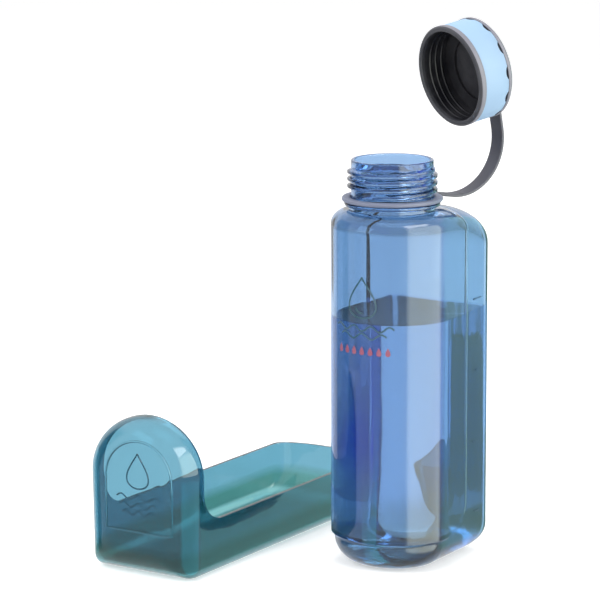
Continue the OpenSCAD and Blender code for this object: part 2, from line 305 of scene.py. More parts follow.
def trace(points):
    """A wire through points, drawn by extruding one vertex; left open in edit mode."""
    start_clean()
    bpy.ops.mesh.primitive_plane_add(size=MM, location=(0, 0, 0))
    piece = bpy.context.object
    edit(piece)
    bpy.ops.mesh.merge(type="CENTER")
    bpy.ops.transform.translate(value=points[0])
    for start, end in zip(points, points[1:]):
        bpy.ops.mesh.extrude_region_move(TRANSFORM_OT_translate={"value": Vector(end) - Vector(start)})
    return piece


def lathe(name, profile):
    """Turns a profile of (radius, height) points round the Z axis."""
    piece = trace([(radius, 0, height) for radius, height in profile])
    bpy.ops.mesh.select_all(action="SELECT")
    bpy.ops.mesh.spin(steps=LATHE_STEPS, angle=2 * pi, center=(0, 0, 0), axis=(0, 0, 1))
    weld(piece, outwards=True)
    return named(piece, name)


def turned_ring(name, inner, outer, low, high):
    """A ring with a square section round the Z axis."""
    return lathe(name, [(inner, low), (outer, low), (outer, high), (inner, high), (inner, low)])


def cord_along(name, points, radius, cyclic=False):
    """A round bead along a path."""
    piece = trace(points)
    if cyclic:
        weld(piece)
    pick(piece)
    bpy.ops.object.convert(target="CURVE")
    curve = bpy.context.object.data
    curve.bevel_depth = radius
    curve.bevel_resolution = 3
    curve.use_fill_caps = True
    bpy.ops.object.convert(target="MESH")
    piece = bpy.context.object
    weld(piece, outwards=True)
    return named(piece, name)


def lerp(a, b, k):
    return a + (b - a) * k


def ease(k):
    k = min(max(k, 0), 1)
    return k * k * (3 - 2 * k)


# ---- The D-shaped form that bottle and bowl share ----

# Points along each stretch of an outline, then rings up each rounding
FRONT_STEPS = 34
SIDE_STEPS = 20
STEP_STEPS = 4
REAR_STEPS = 7
CORNER_STEPS = 8
BACK_STEPS = 6
ROUND_STEPS = 12
SHOULDER_STEPS = 18
TURN_STEPS = 12
UPRIGHT_SHARES = (0.05, 0.35, 0.65, 0.95)

EDGE_SUPPORT = 0.5 * MM
TIGHT_RADIUS = 5 * MM
SHOULDER_FLARE = 1.6 * MM
WRAP_CLOSING = 6 * MM
DROP_POWER = 2.2

# Directions on the neck, in degrees, of the step and of the rear corner
STEP_ANGLE = 64
STEP_ANGLE_GAP = 3
CORNER_ANGLES = (72, 84)


class BodyForm:
    """Outlines, skins and shoulder of the body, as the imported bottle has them."""

    def __init__(self, sizes):
        self.sizes = sizes
        self.radius = BOTTLE_HIGH.x
        self.front = -BOTTLE_LOW.y
        self.back = BOTTLE_HIGH.y + sizes.step_depth
        self.mouth = BOTTLE_HIGH.z
        self.step_low = sizes.step_back - sizes.step_corner
        self.shoulder_radius = sizes.neck_radius + SHOULDER_FLARE

    def side_x(self, inset, y):
        taper = self.sizes.side_taper
        return (self.radius - inset - y * sin(taper)) / cos(taper)

    def outline(self, front_inset, back_inset, step):
        """Counter-clockwise outline of (x, y, angle on the neck), stepping in behind step."""
        sizes = self.sizes
        taper = degrees(sizes.side_taper)
        half, depth = self.radius - front_inset, self.front - front_inset
        start = depth * sin(sizes.side_taper)
        ramp_start, ramp_end = step - sizes.step_ramp / 2, step + sizes.step_ramp / 2
        back = self.back - back_inset
        deeper = max(0, back_inset - sizes.step_depth - sizes.wall)
        corner = max(sizes.corner_radius - back_inset, TIGHT_RADIUS + deeper / 2)
        corner_x = self.side_x(back_inset + corner, back - corner)
        side = []
        for i in range(FRONT_STEPS + 1):
            turn = lerp(-90, taper, i / FRONT_STEPS)
            side.append((half * cos(radians(turn)), depth * sin(radians(turn)), turn))
        for i in range(1, SIDE_STEPS + 1):
            y = lerp(start, ramp_start, i / SIDE_STEPS)
            side.append((self.side_x(front_inset, y), y, lerp(taper, STEP_ANGLE, i / SIDE_STEPS)))
        for i in range(1, STEP_STEPS + 1):
            k = i / STEP_STEPS
            y = lerp(ramp_start, ramp_end, k)
            inset = lerp(front_inset, back_inset, ease(k))
            side.append((self.side_x(inset, y), y, STEP_ANGLE + STEP_ANGLE_GAP * k))
        rear_start, rear_end = ramp_end + EDGE_SUPPORT, back - corner + corner * sin(sizes.side_taper)
        for i in range(REAR_STEPS):
            y = lerp(rear_start, rear_end, i / REAR_STEPS)
            turn = lerp(STEP_ANGLE + STEP_ANGLE_GAP, CORNER_ANGLES[0], (i + 1) / (REAR_STEPS + 1))
            side.append((self.side_x(back_inset, y), y, turn))
        for i in range(CORNER_STEPS + 1):
            k = i / CORNER_STEPS
            turn = radians(lerp(taper, 90, k))
            side.append((corner_x + corner * cos(turn), back - corner + corner * sin(turn),
                         lerp(*CORNER_ANGLES, k)))
        for i in range(1, BACK_STEPS + 1):
            k = i / BACK_STEPS
            side.append((lerp(corner_x, 0, k), back, lerp(CORNER_ANGLES[1], 90, k)))
        return side + [(-x, y, 180 - turn) for x, y, turn in reversed(side[1:-1])]

    def level(self, outline, z):
        return [Vector((x, y, z)) for x, y, turn in outline]

    def circle(self, radius, z, bump=None):
        """A ring of the neck, with the thread's height added where bump gives one."""
        ring = []
        for x, y, turn in self.outline(0, self.sizes.step_depth, self.sizes.step_back):
            reach = radius + (bump(turn, z) if bump else 0)
            ring.append(Vector((reach * cos(radians(turn)), reach * sin(radians(turn)), z)))
        return ring

    def step_at(self, z):
        """Place of the step at height z: round its corner, then upright."""
        radius = self.sizes.step_corner
        below = min(max(0, self.sizes.step_up + radius - z), radius)
        return self.step_low + sqrt(max(0, radius * radius - below * below))

    def shoulder_rings(self, outline, radius, top):
        """From the walls to a circle, each point on a quarter ellipse."""
        sizes = self.sizes
        rings = []
        for j in range(SHOULDER_STEPS + 1):
            turn = pi / 2 * j / SHOULDER_STEPS
            inwards = 1 - cos(turn)
            ring = []
            for x, y, neck in outline:
                drop = lerp(sizes.front_drop, sizes.back_drop, (max(0, y) / self.back) ** DROP_POWER)
                ring.append(Vector((lerp(x, radius * cos(radians(neck)), inwards),
                                    lerp(y, radius * sin(radians(neck)), inwards),
                                    top - drop * (1 - sin(turn)))))
            rings.append(ring)
        return rings

    def foot_rings(self, inset, bottom, rounding, step):
        rings = []
        for i in range(ROUND_STEPS + 1):
            turn = pi / 2 * i / ROUND_STEPS
            edge = inset + rounding * (1 - sin(turn))
            rings.append(self.level(self.outline(edge, edge, step), bottom + rounding * (1 - cos(turn))))
        return rings

    def stepped_rings(self, e):
        """The walls with the docking step, inset by e all round."""
        sizes = self.sizes
        inset = sizes.step_depth + e
        rings = []
        for i in range(STEP_STEPS + 1):
            k = i / STEP_STEPS
            z = sizes.step_up + e + sizes.step_ramp * (k - 1)
            rings.append(self.level(self.outline(lerp(inset, e, ease(k)), inset, self.step_low), z))
        rise = sizes.step_corner - e
        for i in range(1, TURN_STEPS + 1):
            z = sizes.step_up + e + rise * (1 - cos(pi / 2 * i / TURN_STEPS))
            rings.append(self.level(self.outline(e, inset, self.step_at(z)), z))
        return rings

    def skin(self, e, bottom, rounding, top, top_radius):
        """Rings of the bottle's skin from the base to the neck."""
        sizes = self.sizes
        inset = sizes.step_depth + e
        walls = self.outline(e, inset, sizes.step_back)
        low, high = sizes.step_up + sizes.step_corner, sizes.shoulder - sizes.back_drop
        uprights = [self.level(walls, lerp(low, high, k)) for k in UPRIGHT_SHARES]
        return (self.foot_rings(inset, bottom, rounding, self.step_low) + self.stepped_rings(e)
                + uprights + self.shoulder_rings(walls, top_radius, top))

    def full_form(self, e, bottom, rounding, top):
        """The body without its step, as the bowl wraps it."""
        walls = self.outline(e, e, self.sizes.step_back)
        return (self.foot_rings(e, bottom, rounding, self.step_low)
                + self.shoulder_rings(walls, self.shoulder_radius - WRAP_CLOSING, top))


def centre_ring(ring):
    """A ring drawn together at the middle of another, to close a skin."""
    middle = sum(ring, Vector()) / len(ring)
    return [middle] * len(ring)


def capped(rings):
    """Rings with both ends closed."""
    return [centre_ring(rings[0])] + rings + [centre_ring(rings[-1])]


def arc(centre, radius, start, end, steps):
    """Points (first, second) round a centre, from start to end in degrees."""
    return [(centre[0] + radius * cos(radians(lerp(start, end, i / steps))),
             centre[1] + radius * sin(radians(lerp(start, end, i / steps)))) for i in range(steps + 1)]


# Spread and sharpness of a drop, and steps along a wave
DROP_SPREAD = 1.54
DROP_SHARPNESS = 1.5
WAVE_STEPS = 40


def drop_outline(width, height, steps=36):
    """A closed water drop about its middle, its tip up, as (across, up)."""
    turns = [2 * pi * i / steps for i in range(steps + 1)]
    return [(width / DROP_SPREAD * sin(turn) * sin(turn / 2) ** DROP_SHARPNESS, height / 2 * cos(turn))
            for turn in turns]


def wave_line(width, rise, waves):
    """A wave about its middle, as (across, up)."""
    shares = [i / WAVE_STEPS for i in range(WAVE_STEPS + 1)]
    return [(width * (share - 0.5), rise * sin(2 * pi * waves * share)) for share in shares]


# ---- Shader groups and materials ----

WORN_TINT = (0.62, 0.62, 0.64)
WORN_SHARE = 0.35

# Surfaces as roughness, strength of the grain, scale of the grain and wear
INK = (0.45, 0.05, 2500, 0.3)
HARD_PLASTIC = (0.42, 0.1, 1800, 0.15)
INSIDE_PLASTIC = (0.35, 0.06, 1800, 0.15)
SEAL_RUBBER = (0.6, 0.2, 1400, 0.1)
GRIP_RUBBER = (0.55, 0.5, 900, 0.08)
STRAP_RUBBER = (0.5, 0.1, 1500, 0.1)
RING_RUBBER = (0.45, 0.1, 1500, 0.1)

# Heights in a clear piece, and the tint of its surfaces there
BOTTLE_BANDS = ((0, "bottle_foot"), (30 * MM, "bottle_blue"), (212 * MM, "bottle_blue"),
                (222 * MM, "bottle_neck"))
# In the bowl, the band from 6.5 to 13 mm high is painted shade on its downward rounding
BOWL_BANDS = ((0, "bowl_floor"), (4.6 * MM, "bowl_floor"), (6.5 * MM, "bowl_corner_shade"),
              (13 * MM, "bowl_corner_shade"), (20 * MM, "bowl_teal"))


def rgba(values):
    return (*values, 1)


def feed(node, values):
    """Sets the inputs of a node, by name or number: a link where a socket is given, else a value."""
    for key, value in dict(values).items():
        if isinstance(value, bpy.types.NodeSocket):
            node.id_data.links.new(value, node.inputs[key])
        else:
            node.inputs[key].default_value = value
    return node


def add_node(tree, kind, values=(), **settings):
    """A shader node with its settings and its inputs."""
    node = tree.nodes.new("ShaderNode" + kind)
    for key, value in settings.items():
        setattr(node, key, value)
    return feed(node, values)


def maths(tree, operation, *values):
    """The result of an operation on values or sockets."""
    return add_node(tree, "Math", enumerate(values), operation=operation).outputs[0]


def mapped(tree, value, limits, **settings):
    """A value taken from one range to another."""
    return add_node(tree, "MapRange", {"Value": value, **limits}, **settings).outputs["Result"]


def mixed(tree, share, first, second):
    """A colour between two; a Mix node has its colours at inputs 6 and 7 and output 2."""
    return add_node(tree, "Mix", {"Factor": share, 6: first, 7: second}, data_type="RGBA").outputs[2]


def object_place(tree):
    return add_node(tree, "TexCoord").outputs["Object"]


def object_axes(tree):
    """The object coordinates, one socket for each axis."""
    return add_node(tree, "SeparateXYZ", {0: object_place(tree)}).outputs


def node_group(name, inputs, outputs):
    """A shader group with its sockets, given as {name: kind}: the group, what it is given, its end."""
    group = bpy.data.node_groups.new(name, "ShaderNodeTree")
    for in_out, sockets in (("INPUT", inputs), ("OUTPUT", outputs)):
        for label, kind in sockets.items():
            group.interface.new_socket(name=label, in_out=in_out, socket_type="NodeSocket" + kind)
    return group, group.nodes.new("NodeGroupInput").outputs, group.nodes.new("NodeGroupOutput")


def moulded_grain():
    """Fine spark grain of a moulded surface, with slight patches of wear."""
    group, given, leave = node_group(
        "moulded_grain",
        {"Colour": "Color", "Roughness": "Float", "Grain": "Float", "Scale": "Float", "Wear": "Float"},
        {"Colour": "Color", "Roughness": "Float", "Normal": "Vector"})
    place_in = object_place(group)
    grain = add_node(group, "TexNoise", {
        "Vector": place_in, "Scale": given["Scale"], "Detail": 3, "Roughness": 0.6})
    bump = add_node(group, "Bump", {
        "Height": grain.outputs["Fac"], "Strength": given["Grain"], "Distance": 0.1 * MM})
    patches = add_node(group, "TexNoise", {
        "Vector": place_in, "Scale": 60, "Detail": 5, "Roughness": 0.65})
    spread = mapped(group, patches.outputs["Fac"], {"From Min": 0.35, "From Max": 0.75})
    wear = maths(group, "MULTIPLY", spread, given["Wear"])
    faint = maths(group, "MULTIPLY", wear, WORN_SHARE)
    feed(leave, {"Colour": mixed(group, faint, given["Colour"], rgba(WORN_TINT)),
                 "Roughness": maths(group, "ADD", given["Roughness"], wear),
                 "Normal": bump.outputs["Normal"]})


def wall_ripple():
    """The soft waves that moulding leaves in a clear wall, and a faint haze in patches."""
    group, given, leave = node_group(
        "wall_ripple", {"Stretch": "Vector", "Scale": "Float", "Depth": "Float"},
        {"Normal": "Vector", "Haze": "Float"})
    place_in = object_place(group)
    stretch = add_node(group, "VectorMath", {0: place_in, 1: given["Stretch"]}, operation="MULTIPLY")
    waves = add_node(group, "TexNoise", {
        "Vector": stretch.outputs[0], "Scale": given["Scale"], "Detail": 1.5, "Roughness": 0.4})
    bump = add_node(group, "Bump", {
        "Height": waves.outputs["Fac"], "Strength": given["Depth"], "Distance": MM})
    dust = add_node(group, "TexNoise", {"Vector": place_in, "Scale": 45, "Detail": 2})
    haze = mapped(group, dust.outputs["Fac"], {"From Min": 0.5, "From Max": 0.8, "To Max": 0.04})
    feed(leave, {"Normal": bump.outputs["Normal"], "Haze": haze})


def new_material(name):
    """A material, its node tree and its main shader."""
    material = bpy.data.materials.new(name)
    material.use_nodes = True
    tree = material.node_tree
    return material, tree, tree.nodes["Principled BSDF"]


def moulded(name, tint, surface):
    """A moulded plastic or rubber with its grain and wear."""
    material, tree, shader = new_material(name)
    values = dict(zip(("Roughness", "Grain", "Scale", "Wear"), surface))
    look = add_node(tree, "Group", {"Colour": rgba(tint), **values},
                    node_tree=bpy.data.node_groups["moulded_grain"]).outputs
    feed(shader, {"Base Color": look["Colour"], "Roughness": look["Roughness"], "Normal": look["Normal"]})
    return material


def clear(name, colours, bands, depth_tint, density, ripple, gloss=0.5):
    """A clear plastic that takes colour with depth, its skin tinted in bands of height."""
    material, tree, shader = new_material(name)
    absorb = add_node(tree, "VolumeAbsorption", {"Color": rgba(depth_tint), "Density": density})
    feed(tree.nodes["Material Output"], {"Volume": absorb.outputs["Volume"]})
    wall = add_node(tree, "Group", ripple, node_tree=bpy.data.node_groups["wall_ripple"]).outputs
    top = bands[-1][0]
    share = mapped(tree, object_axes(tree)["Z"], {"From Max": top})
    ramp = add_node(tree, "ValToRGB", {"Fac": share})
    stops = ramp.color_ramp.elements
    for height, _ in bands[1:-1]:
        stops.new(height / top)
    for stop, (_, tint) in zip(stops, bands):
        stop.color = rgba(getattr(colours, tint))
    feed(shader, {
        "Base Color": ramp.outputs["Color"], "Transmission Weight": 1, "IOR": 1.5,
        "Specular IOR Level": gloss, "Normal": wall["Normal"], "Roughness": wall["Haze"]})
    return material


class Builder:
    """Runs build() on the scene's sizes and colours as an operator."""

    def execute(self, context):
        self.build(context.scene, context.scene.bottle_colours)
        return {"FINISHED"}


# ---- Bottle ----

COLLAR_RADIUS = 28 * MM
COLLAR_UP = 2.3 * MM
COLLAR_THICKNESS = 2.4 * MM
COLLAR_FOOT_IN = 0.5 * MM
COLLAR_FILLET = 0.5 * MM
COLLAR_STEPS = 8
SHOULDER_SUPPORT = 0.1 * MM
LIP_ROUND = 0.8 * MM
LIP_STEPS = 6
BORE_SUPPORT = 12 * MM
BORE_FOOT_UP = 1.3 * MM
INNER_SHOULDER_GAP = 1.2 * MM
THREAD_RING_STEP = 0.34 * MM
SAME_RADIUS = 0.01 * MM

# The thread's run-out as a share of a turn, and half its foot and its flank as shares of the pitch
THREAD_RUN_OUT = 0.09
THREAD_HALF_FOOT = 0.44
THREAD_FLANK = 0.3


def thread_bump(sizes):
    """Height of the neck's thread over its root, at an angle in degrees and a height."""
    def bump(turn, z):
        share = ((turn + 90) % 360) / 360
        laps = round((z - sizes.thread_start) / sizes.thread_pitch - share)
        run = laps + share
        if not 0 <= run <= sizes.thread_turns:
            return 0
        away = abs(z - sizes.thread_start - sizes.thread_pitch * run) / sizes.thread_pitch
        ends = ease(min(run, sizes.thread_turns - run) / THREAD_RUN_OUT)
        return sizes.thread_height * ease((THREAD_HALF_FOOT - away) / THREAD_FLANK) * ends
    return bump


class BOTTLE_OT_body(Builder, bpy.types.Operator):
    """Lofts the clear bottle from its base to its threaded neck and back down inside"""

    bl_idname = "waterbottle.body"
    bl_label = "Bottle"

    def build(self, scene, colours):
        sizes = scene.bottle_sizes
        form = BodyForm(sizes)
        neck = sizes.neck_radius
        bump = thread_bump(sizes)
        rings = form.skin(0, 0, sizes.base_round, sizes.shoulder, form.shoulder_radius)
        rings.insert(0, centre_ring(rings[0]))
        for radius, z in self.neck_profile(form, sizes):
            threaded = abs(radius - neck) < SAME_RADIUS
            rings.append(form.circle(radius, z, bump if threaded else None))
        inner = form.skin(sizes.wall, sizes.base_wall, sizes.base_round - sizes.wall,
                          sizes.shoulder - sizes.wall, neck - INNER_SHOULDER_GAP)
        rings += reversed(inner)
        rings.append(centre_ring(inner[0]))
        plastic = clear("clear_blue_plastic", colours, BOTTLE_BANDS, colours.bottle_depth, density=80,
                        ripple={"Depth": 0.35, "Stretch": (1, 1, 0.12), "Scale": 70})
        bottle = named(loft("bottle_body", rings), "bottle_body", plastic)
        finish_piece(bottle, ROUND, "bottle", ["bottle"])

    def neck_profile(self, form, sizes):
        """The neck as (radius, height): up the collar and the thread, over the lip, down the bore."""
        neck, bore = sizes.neck_radius, sizes.neck_radius - sizes.neck_wall
        foot = form.shoulder_radius - COLLAR_FOOT_IN
        collar = sizes.shoulder + COLLAR_UP
        half = COLLAR_THICKNESS / 2
        top = collar + COLLAR_THICKNESS
        profile = [(foot, sizes.shoulder + SHOULDER_SUPPORT), (foot, collar)]
        profile += arc((COLLAR_RADIUS - half, collar + half), half, -90, 90, COLLAR_STEPS)
        profile += [(neck + COLLAR_FILLET, top), (neck, top + COLLAR_FILLET)]
        low = sizes.thread_start - sizes.thread_pitch / 2
        high = low + sizes.thread_pitch * (sizes.thread_turns + 1)
        count = int((high - low) / THREAD_RING_STEP)
        profile += [(neck, lerp(low, high, i / count)) for i in range(count + 1)]
        lip = form.mouth - LIP_ROUND
        profile += arc((neck - LIP_ROUND, lip), LIP_ROUND, 0, 90, LIP_STEPS)
        profile += arc((bore + LIP_ROUND, lip), LIP_ROUND, 90, 180, LIP_STEPS)
        return profile + [(bore, form.mouth - BORE_SUPPORT), (bore, top + BORE_FOOT_UP)]


WATER_OVERLAP = 0.1 * MM
MENISCUS_ROOM = 4 * MM

# The meniscus as distance from the wall and height over the level
MENISCUS = ((0, 0.7 * MM), (0.5 * MM, 0.35 * MM), (1.2 * MM, 0.1 * MM), (2.4 * MM, 0))


class BOTTLE_OT_water(Builder, bpy.types.Operator):
    """Fills the bottle with water up to its level, with a low meniscus at the wall"""

    bl_idname = "waterbottle.water"
    bl_label = "Water"

    def build(self, scene, colours):
        sizes = scene.bottle_sizes
        form = BodyForm(sizes)
        inset = sizes.wall - WATER_OVERLAP
        level = sizes.water_level
        skin = form.skin(inset, sizes.base_wall - WATER_OVERLAP, sizes.base_round - sizes.wall,
                         sizes.shoulder - sizes.wall, sizes.neck_radius)
        rings = [ring for ring in skin if max(point.z for point in ring) < level - MENISCUS_ROOM]
        for away, rise in MENISCUS:
            walls = form.outline(inset + away, inset + away + sizes.step_depth, sizes.step_back)
            rings.append(form.level(walls, level + rise))
        material, _, shader = new_material("clear_water")
        feed(shader, {"Base Color": rgba(colours.water), "Transmission Weight": 1, "IOR": 1.333,
                      "Roughness": 0})
        water = named(loft("water_fill", capped(rings)), "water_fill", material)
        finish_piece(water, CRISP, "bottle")


INK_GAP = 0.04 * MM
INK_THICKNESS = 0.06 * MM
SHINE_RADIUS = 4.6 * MM
SHINE_SPAN = (200, 275)
SHINE_STEPS = 12
PRINT_WAVE_RISE = 1.6 * MM
SMALL_DROPS = 7
SMALL_DROP_PITCH = 5.4 * MM
SMALL_DROP_STEPS = 20

# Widths and heights of the drops, and heights over the middle of the print
PRINT_DROP = (20 * MM, 24 * MM)
PRINT_DROP_UP = 11 * MM
SHINE_UP = 6.5 * MM
SMALL_DROP = (3.4 * MM, 5.2 * MM)
SMALL_DROP_UP = -20 * MM

# The two waves as width, number of waves and height over the middle of the print
PRINT_WAVES = ((40 * MM, 3.5, -7 * MM), (31 * MM, 2.5, -11.5 * MM))


class BOTTLE_OT_print(Builder, bpy.types.Operator):
    """Prints a drop, two waves and a row of small drops on the round front"""

    bl_idname = "waterbottle.front_print"
    bl_label = "Print"

    def build(self, scene, colours):
        sizes = scene.bottle_sizes
        form = BodyForm(sizes)
        teal = moulded("print_teal_ink", colours.print_teal, INK)
        red = moulded("print_red_ink", colours.print_red, INK)
        lines = [("print_drop", PRINT_DROP_UP, drop_outline(*PRINT_DROP)),
                 ("print_drop_shine", SHINE_UP, arc((0, 0), SHINE_RADIUS, *SHINE_SPAN, SHINE_STEPS))]
        for k, (width, waves, up) in enumerate(PRINT_WAVES, 1):
            lines.append(("print_wave_%d" % k, up, wave_line(width, PRINT_WAVE_RISE, waves)))
        for name, up, path in lines:
            high = sizes.print_height + up
            self.stroke(form, name, [(x, high + y) for x, y in path], teal)
        for k in range(SMALL_DROPS):
            across = (k - SMALL_DROPS // 2) * SMALL_DROP_PITCH
            shape = [self.on_front(form, across + x, sizes.print_height + SMALL_DROP_UP + y)
                     for x, y in drop_outline(*SMALL_DROP, SMALL_DROP_STEPS)[:-1]]
            self.ink("print_small_drop_%d" % (k + 1), [centre_ring(shape), shape], True, red)

    def on_front(self, form, across, height):
        """A point just above the round front, at a length across it from its middle."""
        turn = across / form.radius
        return Vector(((form.radius + INK_GAP) * sin(turn), -(form.front + INK_GAP) * cos(turn), height))

    def stroke(self, form, name, path, material):
        """A printed line along a path of (across, height)."""
        half = form.sizes.print_line / 2
        rings = []
        for i, (x, y) in enumerate(path):
            before, after = path[max(0, i - 1)], path[min(len(path) - 1, i + 1)]
            along = Vector((after[0] - before[0], after[1] - before[1])).normalized()
            rings.append([self.on_front(form, x - side * along.y * half, y + side * along.x * half)
                          for side in (1, -1)])
        self.ink(name, rings, False, material)

    def ink(self, name, rings, closed, material):
        """A film of ink over rings of points."""
        film = loft(name, rings, closed)
        apply_modifier(film, "SOLIDIFY", thickness=INK_THICKNESS, offset=0)
        weld(film, INK_THICKNESS / 10, outwards=True)
        named(film, name, material)
        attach(film, "bottle")


MARKS = 4
MARK_RADIUS = 0.5 * MM
MARK_INSET = 14 * MM
MARK_LENGTHS = (6 * MM, 9 * MM)


class BOTTLE_OT_marks(Builder, bpy.types.Operator):
    """Moulds the raised level marks, short and long in turn, on the side behind the step"""

    bl_idname = "waterbottle.level_marks"
    bl_label = "Level marks"

    def build(self, scene, colours):
        sizes = scene.bottle_sizes
        form = BodyForm(sizes)
        plastic = bpy.data.materials["clear_blue_plastic"]
        start = form.back - MARK_INSET
        for k in range(MARKS):
            height = sizes.mark_start + k * sizes.mark_pitch
            points = [(form.side_x(sizes.step_depth, y), y, height)
                      for y in (start, start - MARK_LENGTHS[k % 2])]
            mark = cord_along("level_mark_%d" % (k + 1), points, MARK_RADIUS)
            named(mark, mark.name, plastic)
            finish_piece(mark, ROUND, "bottle")


# ---- Bowl ----

BOWL_DOUBLES = 0.02 * MM
CUT_STEPS = 24
MOTIF_MIDDLE_UP = 5 * MM
MOTIF_DROP = (17 * MM, 21 * MM)
MOTIF_WAVES = 3
MOTIF_WAVE_WIDTH = 30 * MM
MOTIF_WAVE_SHRINK = 4 * MM
MOTIF_WAVE_RISE = 1.5 * MM
MOTIF_WAVE_COUNT = 2.5
MOTIF_WAVE_DOWN = 11 * MM
MOTIF_WAVE_PITCH = 4.6 * MM
ARCH_STEPS = 40
PANEL_SIDE_STEPS = 8
PANEL_FOOT_STEPS = 12


class BOTTLE_OT_bowl(Builder, bpy.types.Operator):
    """Wraps the drinking bowl round the body's form, cuts its mouth and lays it on its back"""

    bl_idname = "waterbottle.bowl"
    bl_label = "Bowl"

    def build(self, scene, colours):
        body, sizes = scene.bottle_sizes, scene.bowl_sizes
        form = BodyForm(body)
        inset = body.step_depth - sizes.dock_gap
        wall = inset + sizes.proud
        drop = wall + sizes.dock_gap
        top = body.shoulder + drop
        outer = form.full_form(-sizes.proud, -drop, sizes.end_round, top)
        inner = form.full_form(inset, -sizes.dock_gap, sizes.end_round - wall, top - wall)
        bowl = loft("bowl_outside", capped(outer))
        combine(bowl, loft("bowl_inside", capped(inner)), "DIFFERENCE")
        combine(bowl, self.mouth_cutter(form, body, sizes), "DIFFERENCE")
        combine(bowl, self.panel_outline(form, sizes, drop), "UNION")
        weld(bowl, BOWL_DOUBLES)
        spot = Vector(((BOWL_LOW.x + BOWL_HIGH.x) / 2, BOWL_LOW.y + sizes.panel_rise,
                       form.back + sizes.proud))
        lay_down = (Matrix.Translation(spot) @ Matrix.Rotation(-pi / 2, 4, "X")
                    @ Matrix.Translation((0, 0, drop)))
        plastic = clear("clear_teal_plastic", colours, BOWL_BANDS, colours.bowl_depth, density=120,
                        ripple={"Depth": 0.2, "Stretch": (1, 0.3, 1), "Scale": 80}, gloss=0.3)
        named(bowl, "drinking_bowl", plastic)
        finish_piece(bowl, CRISP, "bowl", ["bowl"], stand=lay_down)
        for name, path, closed in self.motif(sizes):
            points = [self.on_end_face(form, sizes, drop, x, y) for x, y in path]
            line = named(cord_along(name, points, sizes.motif_line / 2, closed), name, plastic)
            finish_piece(line, ROUND, "bowl", stand=lay_down)

    def mouth_cutter(self, form, body, sizes):
        """Everything in front of the rim, with the round corner of the step."""
        edge_y, edge_z = body.step_back + sizes.rim_gap, body.step_up - sizes.rim_gap
        far, tall = 3 * form.back, 2 * body.shoulder
        radius = body.step_corner
        points = [(-far, tall), (-far, edge_z)]
        points += arc((edge_y - radius, edge_z + radius), radius, -90, 0, CUT_STEPS)
        points += [(edge_y, tall), (-far, tall)]
        half = 2 * form.radius
        cutter = trace([(-half, y, z) for y, z in points])
        weld(cutter)
        edit(cutter)
        bpy.ops.mesh.edge_face_add()
        bpy.ops.mesh.extrude_region_move(TRANSFORM_OT_translate={"value": (2 * half, 0, 0)})
        weld(cutter, outwards=True)
        return cutter

    def on_end_face(self, form, sizes, drop, x, y):
        """The point of the end face, or of its rounding, over (x, y)."""
        edge = [Vector((a, b)) for a, b, turn in form.outline(-sizes.proud, -sizes.proud, form.step_low)]
        away = min((Vector((x, y)) - intersect_point_line(Vector((x, y)), a, b)[0]).length
                   for a, b in zip(edge, edge[1:] + edge[:1]))
        over = max(0, sizes.end_round - away)
        return Vector((x, y, sizes.end_round - sqrt(sizes.end_round ** 2 - over * over) - drop))

    def motif(self, sizes):
        """A drop over three waves inside the panel, as (name, path, closed)."""
        middle = sizes.panel_shift
        drop = [(middle + x, -y - MOTIF_MIDDLE_UP) for x, y in drop_outline(*MOTIF_DROP)[:-1]]
        shapes = [("bowl_motif_drop", drop, True)]
        for k in range(MOTIF_WAVES):
            wave = wave_line(MOTIF_WAVE_WIDTH - k * MOTIF_WAVE_SHRINK, MOTIF_WAVE_RISE, MOTIF_WAVE_COUNT)
            down = MOTIF_WAVE_DOWN + k * MOTIF_WAVE_PITCH
            path = [(middle + x, down - y) for x, y in wave]
            shapes.append(("bowl_motif_wave_%d" % (k + 1), path, False))
        return shapes

    def panel_outline(self, form, sizes, drop):
        """The raised arch on the end face."""
        half = sizes.panel_width / 2
        arch_y, foot = half - sizes.panel_round_reach, sizes.panel_foot_reach
        left, right = sizes.panel_shift - half, sizes.panel_shift + half
        path = arc((sizes.panel_shift, arch_y), half, 180, 360, ARCH_STEPS)
        for start, end, steps in (((right, arch_y), (right, foot), PANEL_SIDE_STEPS),
                                  ((right, foot), (left, foot), PANEL_FOOT_STEPS),
                                  ((left, foot), (left, arch_y), PANEL_SIDE_STEPS)):
            path += [(lerp(start[0], end[0], k / steps), lerp(start[1], end[1], k / steps))
                     for k in range(1, steps + 1)]
        points = [self.on_end_face(form, sizes, drop, x, y) for x, y in path]
        return cord_along("panel_outline", points, sizes.panel_line / 2, cyclic=True)


# ---- Cap, drawn along its own axis with the open end at the bottom ----

BORE_CHAMFER = 0.5 * MM
LIP_CHAMFER = 1.2 * MM
TOP_CHAMFER = 1.6 * MM
LOOP_SEAT = 1 * MM
BUTTON_REACH = 2.5 * MM
BUTTON_THICKNESS = 2 * MM
SEAT_GAP = 0.4 * MM
LOOP_THICKNESS = RING_HIGH.z - RING_LOW.z

# A scallop is the part of a circle that lies under the band's rear edge; its last step crosses it
SCALLOP_RADIUS = 6 * MM
SCALLOP_UP = 4.5 * MM
SCALLOP_TURNS = [radians(7.5 * k) for k in range(7)]
BETWEEN_STEPS = 6

RIDGE_LOW = 4.8 * MM
RIDGE_TURNS = 3
RIDGE_STEPS = 96

# Painted shade makes the inside dark above a ring of the bore, and a painted highlight makes what lies
# near the outside radius paler
SHADE_RING_UP = 2.8 * MM
SHADE_FROM = 2.6 * MM
PAINT_SLACK = 0.1 * MM
HIGHLIGHT_RIM = 0.3 * MM

# Bevels as width, segments and the angle in degrees from which an edge is bevelled
SHELL_BEVEL = (0.35 * MM, 3, 30)
BAND_BEVEL = (0.05 * MM, 2, 40)
RING_BEVEL = (1.1 * MM, 5, 40)
LOOP_BEVEL = (0.7 * MM, 4, 40)

# Section of the inside thread as (out from the bore, up from its lower end)
RIDGE_SECTION = ((0.2 * MM, 0), (-0.45 * MM, 0.75 * MM), (-0.45 * MM, 1.25 * MM), (0.2 * MM, 2 * MM))

